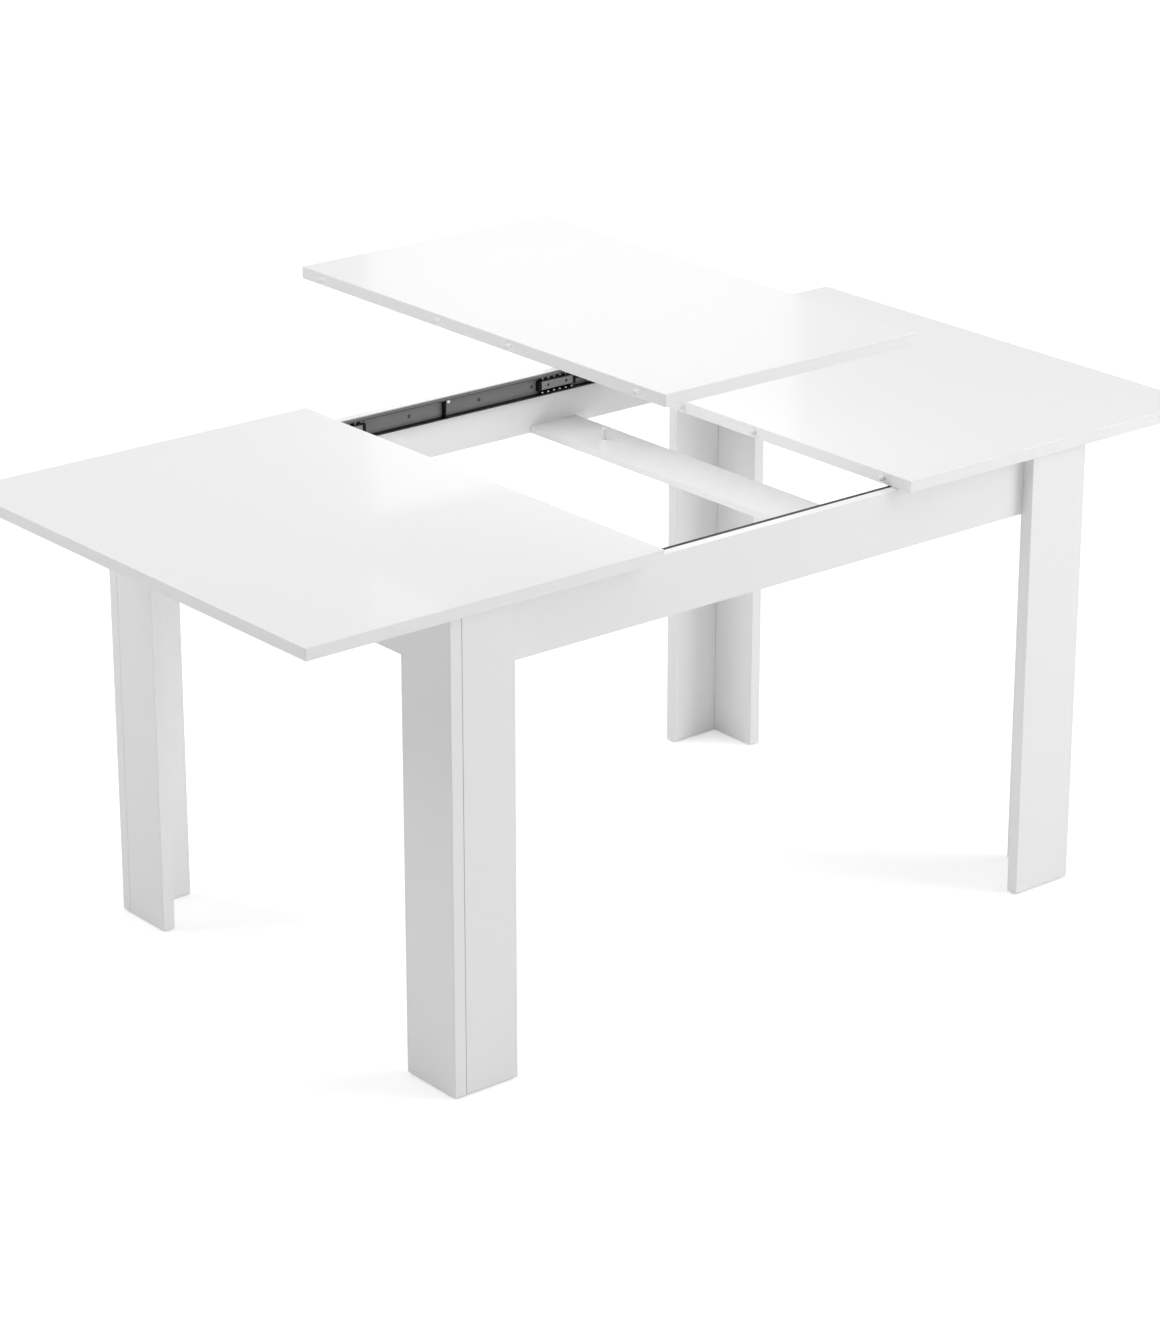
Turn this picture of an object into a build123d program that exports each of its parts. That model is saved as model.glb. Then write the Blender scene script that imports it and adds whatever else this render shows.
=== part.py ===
from build123d import *
import os

# Extendable dining table, pulled open, with its loose leaf held above the gap it fills.
# X runs along the table, -Y is its front, Z is up. The origin is on the floor under the
# table's centre. All sizes are in millimetres.

os.makedirs("parts", exist_ok=True)

# Driving dimensions of the boards.
table_length = 1800.0
table_width = 900.0
table_height = 780.0
leaf_length = 500.0
leaf_top_height = 1018.0
top_thickness = 20.0
leg_board_thickness = 21.0
leg_width = 118.0
leg_overhang = 6.0
apron_thickness = 16.0
apron_height = 100.0
crossbar_width = 100.0
crossbar_thickness = 12.0
crossbar_centre = 235.0
glide_height = 2.0
slide_gap = 0.5
arris = 0.6

# Driving dimensions of the ball-bearing slides. Depth is measured from the apron's inner
# face towards the middle of the table, and height from the slide's centre line.
slide_centre_height = 741.0
outer_rail_height = 34.0
outer_rail_depth = 11.0
outer_rail_wall = 1.6
outer_rail_lip = 0.6
outer_rail_end = 600.0
rail_bend_radius = 0.9
rail_joint_gap = 1.0
inner_rail_near_depth = 3.2
inner_rail_far_depth = 11.1
inner_rail_wall = 1.4
inner_rail_height = 20.6
inner_rail_start = 300.0
inner_rail_length = 294.0
ball_radius = 2.5
ball_depth = 7.5
ball_row_height = 12.85
ball_pitch = 12.7
balls_in_row = 6
cage_group_centres = {"left": (207.5, 407.5), "right": (236.0, 436.0)}

# Driving dimensions of the hardware.
pin_radius = 4.0
pin_reach = 10.0
pin_clearance = 0.3
pin_stations = (-390.0, -88.0, 88.0, 390.0)
dowel_radius = 3.95
hole_clearance = 0.05
rail_screw_stations = (73.0, 186.0, 300.0, 414.0, 560.0)
bracket_stations = (370.0, 540.0)
bracket_width = 40.0
bracket_metal = 2.0

# Sizes that follow from the driving dimensions.
frame_top = table_height - top_thickness - slide_gap
apron_bottom = frame_top - apron_height
half_gap = leaf_length / 2
half_length = table_length / 2
half_width = table_width / 2
leg_x = half_length - half_gap - leg_overhang
leg_y = half_width - leg_overhang
apron_x = leg_x - leg_board_thickness
apron_y = leg_y - leg_board_thickness
inner_x = apron_x - apron_thickness
inner_y = apron_y - apron_thickness
crossbar_top = apron_bottom + crossbar_thickness
top_underside = table_height - top_thickness
pin_height = table_height - top_thickness / 2

# The front of the table is side -1 and its back side +1; its left end is -1, right +1.
sides = {"front": -1, "back": 1}
ends = {"left": -1, "right": 1}


def save(builder, name):
    """Label a finished piece and write it as its own file."""
    builder.part.label = name
    export_step(builder.part, f"parts/{name}.step")


def make_board(name, x_span, y_span, z_span, drillings=()):
    """Melamine board with eased arrises; each drilling is (plane, points, radius, depth)."""
    x_low, x_high = sorted(x_span)
    y_low, y_high = sorted(y_span)
    z_low, z_high = sorted(z_span)
    with BuildPart() as board:
        with BuildSketch(Plane.XY.offset(z_low)):
            with Locations(((x_low + x_high) / 2, (y_low + y_high) / 2)):
                Rectangle(x_high - x_low, y_high - y_low)
        extrude(amount=z_high - z_low)
        chamfer(board.edges(), arris)
        for plane, points, radius, depth in drillings:
            with BuildSketch(plane):
                with Locations(*points):
                    Circle(radius)
            extrude(amount=depth, mode=Mode.SUBTRACT)
    save(board, name)


def copies(name, piece, locations):
    """Node that holds one separate solid of the piece at each location."""
    with BuildPart() as group:
        with Locations(*locations):
            add(piece.part)
    save(group, name)


def looking_x(x, sign):
    """Plane at x whose normal runs along X, outwards for +1; its points are (Y, Z)."""
    return Plane(origin=(x, 0, 0), x_dir=(0, sign, 0), z_dir=(sign, 0, 0))


def looking_y(y, sign):
    """Plane at y whose normal runs along Y, backwards for +1; its points are (X, Z)."""
    return Plane(origin=(0, y, 0), x_dir=(-sign, 0, 0), z_dir=(0, sign, 0))


def on_x(sign, points):
    """Points (Y, Z) of the table, in the coordinates of a looking_x plane."""
    return [(sign * y, z) for y, z in points]


def on_y(sign, points):
    """Points (X, Z) of the table, in the coordinates of a looking_y plane."""
    return [(-sign * x, z) for x, z in points]


# Every fastener is drawn upright, entering downwards from Z = 0, and is turned to the way
# it is driven: these turns send its point towards +Y or -Y, and towards +X or -X.
driven_y = {1: (90, 0, 0), -1: (-90, 0, 0)}
driven_x = {1: (0, -90, 0), -1: (0, 90, 0)}


# Legs: two boards each, glued and dowelled into an L that opens inwards. Going round the
# table, the full-width board is by turns on the end and on the side, so all four match.
dowel_length = 30.0
dowel_in_face = 12.0
leg_dowel_heights = (100.0, 310.0, 520.0, 630.0)
bolt_shank_radius = 3.0
bolt_in_leg = 13.0
side_bolt_x = 545.0
side_bolt_heights = (680.0, 708.0)
end_bolt_y = 342.0
end_bolt_heights = (685.0, 735.0)
drill_play = dowel_radius + hole_clearance
bolt_hole = bolt_shank_radius + hole_clearance
leg_seat_x = leg_x - leg_width
leg_seat_y = leg_y - leg_width

leg_dowel_places = []
for side, y_sign in sides.items():
    for end, x_sign in ends.items():
        end_board_is_full = x_sign * y_sign > 0
        side_bolts = on_y(y_sign, [(x_sign * side_bolt_x, z) for z in side_bolt_heights])
        end_bolts = on_x(x_sign, [(y_sign * end_bolt_y, z) for z in end_bolt_heights])
        side_drilling = [(looking_y(y_sign * apron_y, y_sign), side_bolts, bolt_hole, bolt_in_leg)]
        end_drilling = [(looking_x(x_sign * apron_x, x_sign), end_bolts, bolt_hole, bolt_in_leg)]
        if end_board_is_full:
            joint_y = y_sign * (leg_y - leg_board_thickness / 2)
            points = [(joint_y, z) for z in leg_dowel_heights]
            face = looking_x(x_sign * apron_x, x_sign)
            edge = looking_x(x_sign * apron_x, -x_sign)
            end_drilling.append((face, on_x(x_sign, points), drill_play, dowel_in_face))
            side_drilling.append(
                (edge, on_x(-x_sign, points), drill_play, dowel_length - dowel_in_face)
            )
            start = x_sign * (apron_x + dowel_in_face)
            leg_dowel_places += [Location((start, y, z), driven_x[-x_sign]) for y, z in points]
        else:
            joint_x = x_sign * (leg_x - leg_board_thickness / 2)
            points = [(joint_x, z) for z in leg_dowel_heights]
            face = looking_y(y_sign * apron_y, y_sign)
            edge = looking_y(y_sign * apron_y, -y_sign)
            side_drilling.append((face, on_y(y_sign, points), drill_play, dowel_in_face))
            end_drilling.append(
                (edge, on_y(-y_sign, points), drill_play, dowel_length - dowel_in_face)
            )
            start = y_sign * (apron_y + dowel_in_face)
            leg_dowel_places += [Location((x, start, z), driven_y[-y_sign]) for x, z in points]
        make_board(
            f"{side}_{end}_leg_end_board",
            (x_sign * apron_x, x_sign * leg_x),
            (y_sign * leg_seat_y, y_sign * (leg_y if end_board_is_full else apron_y)),
            (glide_height, frame_top),
            end_drilling,
        )
        make_board(
            f"{side}_{end}_leg_side_board",
            (x_sign * leg_seat_x, x_sign * (apron_x if end_board_is_full else leg_x)),
            (y_sign * apron_y, y_sign * leg_y),
            (glide_height, frame_top),
            side_drilling,
        )

# Wooden dowels inside the legs' corner joints.
with BuildPart() as leg_dowel:
    with BuildSketch():
        Circle(dowel_radius)
    extrude(amount=-dowel_length)
    chamfer(leg_dowel.edges(), arris)
copies("leg_dowels", leg_dowel, leg_dowel_places)

# Nail-on glides under the leg boards, two for each leg.
glide_radius = 9.0
glide_inset = 25.0
with BuildPart() as glide:
    with BuildSketch():
        Circle(glide_radius)
    extrude(amount=glide_height)
    chamfer(glide.edges().group_by(Axis.Z)[0], arris)
glide_places = []
for y_sign in sides.values():
    for x_sign in ends.values():
        end_glide = (x_sign * (leg_x - leg_board_thickness / 2), y_sign * (leg_seat_y + glide_inset))
        side_glide = (x_sign * (leg_seat_x + glide_inset), y_sign * (leg_y - leg_board_thickness / 2))
        glide_places += [Location((*end_glide, 0)), Location((*side_glide, 0))]
copies("leg_glides", glide, glide_places)


# Corner braces: bent steel strips across the inner corners of the apron ring.
brace_metal = 2.0
brace_flange = 18.0
brace_reach = 50.0
brace_low, brace_high = 668.0, 712.0
brace_screw_heights = (679.0, 701.0)
brace_screw_offset = brace_reach - brace_flange / 2
brace_screw_radius = 2.0
brace_screw_length = 14.0
brace_hole = brace_screw_radius + hole_clearance
brace_line_x = inner_x - brace_metal / 2
brace_line_y = inner_y - brace_metal / 2
brace_screw_x = inner_x - brace_screw_offset
brace_screw_y = inner_y - brace_screw_offset

for side, y_sign in sides.items():
    for end, x_sign in ends.items():
        with BuildPart() as brace:
            with BuildSketch(Plane.XY.offset(brace_low)):
                with BuildLine() as bend:
                    Polyline(
                        (x_sign * (inner_x - brace_reach), y_sign * brace_line_y),
                        (x_sign * (inner_x - brace_reach + brace_flange), y_sign * brace_line_y),
                        (x_sign * brace_line_x, y_sign * (inner_y - brace_reach + brace_flange)),
                        (x_sign * brace_line_x, y_sign * (inner_y - brace_reach)),
                    )
                trace(line_width=brace_metal)
            extrude(amount=brace_high - brace_low)
            with BuildSketch(looking_y(y_sign * (inner_y - brace_metal), y_sign)):
                with Locations(*on_y(y_sign, [(x_sign * brace_screw_x, z) for z in brace_screw_heights])):
                    Circle(brace_hole)
            extrude(amount=brace_metal, mode=Mode.SUBTRACT)
            with BuildSketch(looking_x(x_sign * (inner_x - brace_metal), x_sign)):
                with Locations(*on_x(x_sign, [(y_sign * brace_screw_y, z) for z in brace_screw_heights])):
                    Circle(brace_hole)
            extrude(amount=brace_metal, mode=Mode.SUBTRACT)
        save(brace, f"{side}_{end}_corner_brace")

# Pan-head screws that hold the braces.
brace_head_radius = 4.0
brace_head_height = 2.4
with BuildPart() as brace_screw:
    with BuildSketch():
        Circle(brace_head_radius)
    extrude(amount=brace_head_height)
    fillet(brace_screw.edges().group_by(Axis.Z)[-1], brace_head_height / 2)
    with BuildSketch():
        Circle(brace_screw_radius)
    extrude(amount=-brace_screw_length)
brace_screw_places = []
for y_sign in sides.values():
    for x_sign in ends.values():
        for z in brace_screw_heights:
            along_y = (x_sign * brace_screw_x, y_sign * (inner_y - brace_metal), z)
            along_x = (x_sign * (inner_x - brace_metal), y_sign * brace_screw_y, z)
            brace_screw_places.append(Location(along_y, driven_y[y_sign]))
            brace_screw_places.append(Location(along_x, driven_x[x_sign]))
copies("corner_brace_screws", brace_screw, brace_screw_places)

# Bolts driven from inside through the aprons into threaded sleeves in the leg boards.
bolt_head_radius = 7.0
bolt_head_height = 2.5
with BuildPart() as leg_bolt:
    with BuildSketch():
        Circle(bolt_head_radius)
    extrude(amount=bolt_head_height)
    fillet(leg_bolt.edges().group_by(Axis.Z)[-1], bolt_head_height / 2)
    with BuildSketch():
        Circle(bolt_shank_radius)
    extrude(amount=-(apron_thickness + bolt_in_leg))
    with BuildSketch(Plane.XY.offset(bolt_head_height)):
        RegularPolygon(radius=bolt_shank_radius, side_count=6)
    extrude(amount=-bolt_head_height / 2, mode=Mode.SUBTRACT)
leg_bolt_places = []
for y_sign in sides.values():
    for x_sign in ends.values():
        for z in side_bolt_heights:
            place = (x_sign * side_bolt_x, y_sign * inner_y, z)
            leg_bolt_places.append(Location(place, driven_y[y_sign]))
        for z in end_bolt_heights:
            place = (x_sign * inner_x, y_sign * end_bolt_y, z)
            leg_bolt_places.append(Location(place, driven_x[x_sign]))
copies("leg_bolts", leg_bolt, leg_bolt_places)


# Crossbars: two flat boards from apron to apron that carry the leaf when it is stored.
# Each end sits on two dowels and is drawn tight by a cam lock in the bar's underside.
crossbar_dowel_offset = 34.0
crossbar_dowel_length = 26.0
crossbar_dowel_in_apron = 10.0
crossbar_dowel_radius = 2.95
cam_radius = 6.0
cam_depth = 9.0
cam_inset = 18.0
cam_bolt_radius = 1.95
cam_bolt_in_apron = 8.0
crossbar_dowel_hole = crossbar_dowel_radius + hole_clearance
cam_bolt_hole = cam_bolt_radius + hole_clearance
cam_hole = cam_radius + hole_clearance
crossbar_mid_height = crossbar_top - crossbar_thickness / 2
cam_bolt_reach = cam_inset - cam_radius
peg_x, peg_y = crossbar_centre, 273.0
peg_height = 20.0
peg_sunk = 7.0
peg_radius = 3.95
peg_rounding = 1.3
crossbar_centres = [end_sign * crossbar_centre for end_sign in ends.values()]
dowel_spots = [
    (centre + step * crossbar_dowel_offset, crossbar_mid_height)
    for centre in crossbar_centres
    for step in (-1, 1)
]

for end, x_sign in ends.items():
    centre = x_sign * crossbar_centre
    spots = [(centre + step * crossbar_dowel_offset, crossbar_mid_height) for step in (-1, 1)]
    drillings = []
    for y_sign in sides.values():
        bar_end = looking_y(y_sign * inner_y, -y_sign)
        in_bar = crossbar_dowel_length - crossbar_dowel_in_apron
        drillings.append((bar_end, on_y(-y_sign, spots), crossbar_dowel_hole, in_bar))
        bolt_line = on_y(-y_sign, [(centre, crossbar_mid_height)])
        drillings.append((bar_end, bolt_line, cam_bolt_hole, cam_inset))
    cam_spots = [(centre, sign * (inner_y - cam_inset)) for sign in sides.values()]
    drillings.append((Plane.XY.offset(apron_bottom), cam_spots, cam_hole, cam_depth))
    if x_sign > 0:
        peg_plane = Plane.XY.offset(crossbar_top - peg_sunk)
        drillings.append((peg_plane, [(peg_x, peg_y)], peg_radius + hole_clearance, peg_sunk))
    make_board(
        f"{end}_crossbar",
        (centre - crossbar_width / 2, centre + crossbar_width / 2),
        (-inner_y, inner_y),
        (apron_bottom, crossbar_top),
        drillings,
    )

with BuildPart() as crossbar_dowel:
    with BuildSketch():
        Circle(crossbar_dowel_radius)
    extrude(amount=-crossbar_dowel_length)
    chamfer(crossbar_dowel.edges(), arris)
copies(
    "crossbar_dowels",
    crossbar_dowel,
    [
        Location((x, sign * (inner_y + crossbar_dowel_in_apron), z), driven_y[-sign])
        for x, z in dowel_spots
        for sign in sides.values()
    ],
)

# A cam disc with a cross slot, turned from below.
cam_slot_width = 1.4
cam_slot_depth = 1.5
with BuildPart() as cam:
    with BuildSketch():
        Circle(cam_radius)
    extrude(amount=cam_depth)
    with BuildSketch():
        Rectangle(cam_radius, cam_slot_width)
        Rectangle(cam_slot_width, cam_radius)
    extrude(amount=cam_slot_depth, mode=Mode.SUBTRACT)
copies(
    "crossbar_cams",
    cam,
    [
        Location((x, sign * (inner_y - cam_inset), apron_bottom))
        for x in crossbar_centres
        for sign in sides.values()
    ],
)

# The steel pins that the cams pull on, screwed into the aprons.
with BuildPart() as cam_bolt:
    with BuildSketch():
        Circle(cam_bolt_radius)
    extrude(amount=-(cam_bolt_in_apron + cam_bolt_reach))
copies(
    "crossbar_cam_bolts",
    cam_bolt,
    [
        Location((x, sign * (inner_y + cam_bolt_in_apron), crossbar_mid_height), driven_y[-sign])
        for x in crossbar_centres
        for sign in sides.values()
    ],
)

# Peg on the right crossbar that keeps the stored leaf from sliding about.
with BuildPart() as storage_peg:
    with BuildSketch(Plane.XY.offset(crossbar_top - peg_sunk)):
        with Locations((peg_x, peg_y)):
            Circle(peg_radius)
    extrude(amount=peg_sunk + peg_height)
    fillet(storage_peg.edges().group_by(Axis.Z)[-1], peg_rounding)
save(storage_peg, "storage_peg")


# Aprons: the two long ones run behind the legs' side boards, the end ones between them.
rail_screw_radius = 1.9
rail_screw_length = 14.0
rail_pilot = rail_screw_radius + hole_clearance
rail_pilot_depth = rail_screw_length - outer_rail_wall
rail_screw_spots = [
    (x_sign * station, slide_centre_height)
    for x_sign in ends.values()
    for station in rail_screw_stations
]
brace_pilot_depth = brace_screw_length - brace_metal
for side, y_sign in sides.items():
    inner_face = looking_y(y_sign * inner_y, y_sign)
    bolts = [(x_sign * side_bolt_x, z) for x_sign in ends.values() for z in side_bolt_heights]
    screws = [(x_sign * brace_screw_x, z) for x_sign in ends.values() for z in brace_screw_heights]
    cam_bolts = [(x, crossbar_mid_height) for x in crossbar_centres]
    make_board(
        f"{side}_apron",
        (-apron_x, apron_x),
        (y_sign * inner_y, y_sign * apron_y),
        (apron_bottom, frame_top),
        [
            (inner_face, on_y(y_sign, bolts), bolt_hole, apron_thickness),
            (inner_face, on_y(y_sign, screws), brace_hole, brace_pilot_depth),
            (inner_face, on_y(y_sign, rail_screw_spots), rail_pilot, rail_pilot_depth),
            (inner_face, on_y(y_sign, dowel_spots), crossbar_dowel_hole, crossbar_dowel_in_apron),
            (inner_face, on_y(y_sign, cam_bolts), cam_bolt_hole, cam_bolt_in_apron),
        ],
    )
for end, x_sign in ends.items():
    inner_face = looking_x(x_sign * inner_x, x_sign)
    bolts = [(y_sign * end_bolt_y, z) for y_sign in sides.values() for z in end_bolt_heights]
    screws = [(y_sign * brace_screw_y, z) for y_sign in sides.values() for z in brace_screw_heights]
    make_board(
        f"{end}_end_apron",
        (x_sign * inner_x, x_sign * apron_x),
        (-inner_y, inner_y),
        (apron_bottom, frame_top),
        [
            (inner_face, on_x(x_sign, bolts), bolt_hole, apron_thickness),
            (inner_face, on_x(x_sign, screws), brace_hole, brace_pilot_depth),
        ],
    )


def at_depth(side_sign, depth):
    """Y of a point at a depth from the apron's inner face, on the front or back slide."""
    return side_sign * (inner_y - depth)


def channel_profile(x_low, side_sign, depths, height, wall, mouth):
    """Section of a bent steel channel; mouth is the depth that its open side faces."""
    near, far = depths
    hollow = (near + wall, mouth) if mouth == far else (mouth, far - wall)
    with BuildSketch(Plane.YZ.offset(x_low)) as profile:
        with Locations((at_depth(side_sign, (near + far) / 2), slide_centre_height)):
            RectangleRounded(far - near, height, rail_bend_radius)
        with Locations((at_depth(side_sign, sum(hollow) / 2), slide_centre_height)):
            Rectangle(hollow[1] - hollow[0], height - 2 * wall, mode=Mode.SUBTRACT)
    return profile.sketch


# Outer rails: lipped steel channels screwed inside the long aprons, two end to end on each
# side with a hairline gap between them at the middle of the table.
rail_head_radius = 3.4
rail_start = rail_joint_gap / 2
outer_rail_length = outer_rail_end - rail_start
lip_depth = outer_rail_depth - outer_rail_wall / 2
lip_height = outer_rail_height / 2 - outer_rail_wall - outer_rail_lip / 2
for side, y_sign in sides.items():
    for end, x_sign in ends.items():
        x_low = rail_start if x_sign > 0 else -outer_rail_end
        section = channel_profile(
            x_low, y_sign, (0, outer_rail_depth), outer_rail_height, outer_rail_wall, outer_rail_depth
        )
        with BuildPart() as outer_rail:
            extrude(section, amount=outer_rail_length)
            with BuildSketch(Plane.YZ.offset(x_low)):
                with Locations(
                    (at_depth(y_sign, lip_depth), slide_centre_height + lip_height),
                    (at_depth(y_sign, lip_depth), slide_centre_height - lip_height),
                ):
                    Rectangle(outer_rail_wall, outer_rail_lip)
            extrude(amount=outer_rail_length)
            for station in rail_screw_stations:
                with Locations(
                    Location(
                        (x_sign * station, at_depth(y_sign, outer_rail_wall / 2), slide_centre_height),
                        driven_y[y_sign],
                    )
                ):
                    Cone(
                        rail_pilot,
                        rail_head_radius + hole_clearance,
                        outer_rail_wall,
                        mode=Mode.SUBTRACT,
                    )
        save(outer_rail, f"{side}_{end}_outer_rail")

# Countersunk screws of the outer rails, flush with the channel's inner face.
with BuildPart() as rail_screw:
    with BuildSketch(Plane.XZ):
        with BuildLine():
            Polyline(
                (0, 0),
                (rail_head_radius, 0),
                (rail_screw_radius, -outer_rail_wall),
                (rail_screw_radius, -rail_screw_length),
                (0, -rail_screw_length),
                (0, 0),
            )
        make_face()
    revolve(axis=Axis.Z)
    with BuildSketch():
        RegularPolygon(radius=rail_screw_radius / 2, side_count=4)
    extrude(amount=-outer_rail_wall / 2, mode=Mode.SUBTRACT)
copies(
    "outer_rail_screws",
    rail_screw,
    [
        Location((x, at_depth(sign, outer_rail_wall), z), driven_y[sign])
        for x, z in rail_screw_spots
        for sign in sides.values()
    ],
)

# Plastic stops. The inner rails come up against those in the channels' outer ends, and a
# thin one closes each left-hand channel's inner end, at the joint.
stop_gap = 0.6
joint_stop_length = 4.0
joint_stop_inset = 0.5
stop_start = inner_rail_start + inner_rail_length + stop_gap
stop_length = outer_rail_end - stop_start
stop_depth = outer_rail_depth - 2 * outer_rail_wall
stop_height = outer_rail_height - 2 * outer_rail_wall
with BuildPart() as rail_stop:
    Box(stop_length, stop_depth, stop_height)
    chamfer(rail_stop.edges().filter_by(Axis.Z), arris)
with BuildPart() as joint_stop:
    Box(joint_stop_length, stop_depth, stop_height)
    chamfer(joint_stop.edges().filter_by(Axis.Z), arris)
stop_x = stop_start + stop_length / 2
joint_stop_x = -(rail_start + joint_stop_inset + joint_stop_length / 2)
stop_y_depth = outer_rail_depth / 2
with BuildPart() as rail_stops:
    for y_sign in sides.values():
        for x_sign in ends.values():
            with Locations((x_sign * stop_x, at_depth(y_sign, stop_y_depth), slide_centre_height)):
                add(rail_stop.part)
        with Locations((joint_stop_x, at_depth(y_sign, stop_y_depth), slide_centre_height)):
            add(joint_stop.part)
save(rail_stops, "rail_end_stops")

# Small white bumpers clipped under the top flange where the right-hand channels begin.
bumper_length = 5.5
bumper_depth = 5.4
bumper_height = 6.0
bumper_inset = 0.5
bumper_rounding = 1.1
bumper_x = rail_start + bumper_inset + bumper_length / 2
bumper_z = slide_centre_height + outer_rail_height / 2 - outer_rail_wall - bumper_height / 2
bumper_y_depth = outer_rail_depth - outer_rail_wall - bumper_depth / 2
with BuildPart() as bumper:
    Box(bumper_length, bumper_depth, bumper_height)
    fillet(bumper.edges().filter_by(Axis.Y), bumper_rounding)
copies(
    "rail_bumpers",
    bumper,
    [Location((bumper_x, at_depth(sign, bumper_y_depth), bumper_z)) for sign in sides.values()],
)


# Inner rails: plain channels that ride between the rows of balls and carry the half tops.
bracket_bolt_offset = 12.0
bracket_bolt_radius = 1.95
bracket_bolt_hole = bracket_bolt_radius + hole_clearance
for side, y_sign in sides.items():
    for end, x_sign in ends.items():
        far_end = inner_rail_start + inner_rail_length
        section = channel_profile(
            inner_rail_start if x_sign > 0 else -far_end,
            y_sign,
            (inner_rail_near_depth, inner_rail_far_depth),
            inner_rail_height,
            inner_rail_wall,
            inner_rail_near_depth,
        )
        with BuildPart() as inner_rail:
            extrude(section, amount=inner_rail_length)
            bolts = [
                (x_sign * (station + step * bracket_bolt_offset), slide_centre_height)
                for station in bracket_stations
                for step in (-1, 1)
            ]
            with BuildSketch(looking_y(at_depth(y_sign, inner_rail_far_depth), y_sign)):
                with Locations(*on_y(y_sign, bolts)):
                    Circle(bracket_bolt_hole)
            extrude(amount=inner_rail_wall, mode=Mode.SUBTRACT)
        save(inner_rail, f"{side}_{end}_inner_rail")


# Steel angle brackets from the inner rails up to the half tops, with their fasteners.
bracket_reach = 30.0
bracket_bottom = 731.0
bracket_screw_inset = 18.0
bracket_screw_radius = 1.9
bracket_screw_in_top = 12.0
fastener_head_radius = 3.8
fastener_head_height = 2.0
bracket_screw_hole = bracket_screw_radius + hole_clearance
bracket_face_depth = inner_rail_far_depth + bracket_metal
bracket_screw_depth = inner_rail_far_depth + bracket_screw_inset
bracket_bolt_length = bracket_metal + inner_rail_wall

with BuildPart() as bracket_screw:
    with BuildSketch():
        Circle(fastener_head_radius)
    extrude(amount=fastener_head_height)
    fillet(bracket_screw.edges().group_by(Axis.Z)[-1], fastener_head_height / 2)
    with BuildSketch():
        Circle(bracket_screw_radius)
    extrude(amount=-(bracket_metal + bracket_screw_in_top))

with BuildPart() as bracket_bolt:
    with BuildSketch():
        Circle(fastener_head_radius)
    extrude(amount=fastener_head_height)
    fillet(bracket_bolt.edges().group_by(Axis.Z)[-1], fastener_head_height / 2)
    with BuildSketch():
        Circle(bracket_bolt_radius)
    extrude(amount=-bracket_bolt_length)

for end, x_sign in ends.items():
    screw_places = []
    bolt_places = []
    with BuildPart() as brackets:
        for y_sign in sides.values():
            for station in bracket_stations:
                with BuildSketch(Plane.YZ.offset(x_sign * station - bracket_width / 2)):
                    upright_y = at_depth(y_sign, inner_rail_far_depth + bracket_metal / 2)
                    with Locations((upright_y, (top_underside + bracket_bottom) / 2)):
                        Rectangle(bracket_metal, top_underside - bracket_bottom)
                    flange_y = at_depth(y_sign, inner_rail_far_depth + bracket_reach / 2)
                    with Locations((flange_y, top_underside - bracket_metal / 2)):
                        Rectangle(bracket_reach, bracket_metal)
                extrude(amount=bracket_width)
                for step in (-1, 1):
                    x = x_sign * station + step * bracket_bolt_offset
                    screw_y = at_depth(y_sign, bracket_screw_depth)
                    screw_places.append(Location((x, screw_y, top_underside - bracket_metal), (180, 0, 0)))
                    bolt_y = at_depth(y_sign, bracket_face_depth)
                    bolt_places.append(Location((x, bolt_y, slide_centre_height), driven_y[y_sign]))
        with Locations(*screw_places):
            Cylinder(
                bracket_screw_hole,
                bracket_metal,
                align=(Align.CENTER, Align.CENTER, Align.MAX),
                mode=Mode.SUBTRACT,
            )
        with Locations(*bolt_places):
            Cylinder(
                bracket_bolt_hole,
                bracket_metal,
                align=(Align.CENTER, Align.CENTER, Align.MAX),
                mode=Mode.SUBTRACT,
            )
    save(brackets, f"{end}_top_brackets")
    copies(f"{end}_bracket_screws", bracket_screw, screw_places)
    copies(f"{end}_bracket_bolts", bracket_bolt, bolt_places)


# Half tops. Plastic pins stand out of the right top's inner edge and fit holes in the left
# top's inner edge when the table is pushed shut without its leaf.
pin_sunk = 20.0
pin_rounding = 1.3
pin_hole_depth = pin_reach + 2.0
loose_pin_hole = pin_radius + pin_clearance
tight_pin_hole = pin_radius + hole_clearance
pin_points = [(y, pin_height) for y in pin_stations]
bracket_spots = [
    (x_sign * (station + step * bracket_bolt_offset), at_depth(y_sign, bracket_screw_depth))
    for x_sign in ends.values()
    for station in bracket_stations
    for step in (-1, 1)
    for y_sign in sides.values()
]
for end, x_sign in ends.items():
    edge = looking_x(x_sign * half_gap, x_sign)
    if x_sign < 0:
        pin_drilling = (edge, on_x(x_sign, pin_points), loose_pin_hole, pin_hole_depth)
    else:
        pin_drilling = (edge, on_x(x_sign, pin_points), tight_pin_hole, pin_sunk)
    own_spots = [spot for spot in bracket_spots if spot[0] * x_sign > 0]
    make_board(
        f"{end}_top_board",
        (x_sign * half_gap, x_sign * half_length),
        (-half_width, half_width),
        (top_underside, table_height),
        [
            pin_drilling,
            (Plane.XY.offset(top_underside), own_spots, bracket_screw_hole, bracket_screw_in_top),
        ],
    )

with BuildPart() as pin:
    with BuildSketch():
        Circle(pin_radius)
    extrude(amount=-(pin_sunk + pin_reach))
    fillet(pin.edges().group_by(Axis.Z)[0], pin_rounding)
    chamfer(pin.edges().group_by(Axis.Z)[-1], arris)
copies(
    "right_top_pins",
    pin,
    [Location((half_gap + pin_sunk, y, z), driven_x[-1]) for y, z in pin_points],
)


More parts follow.
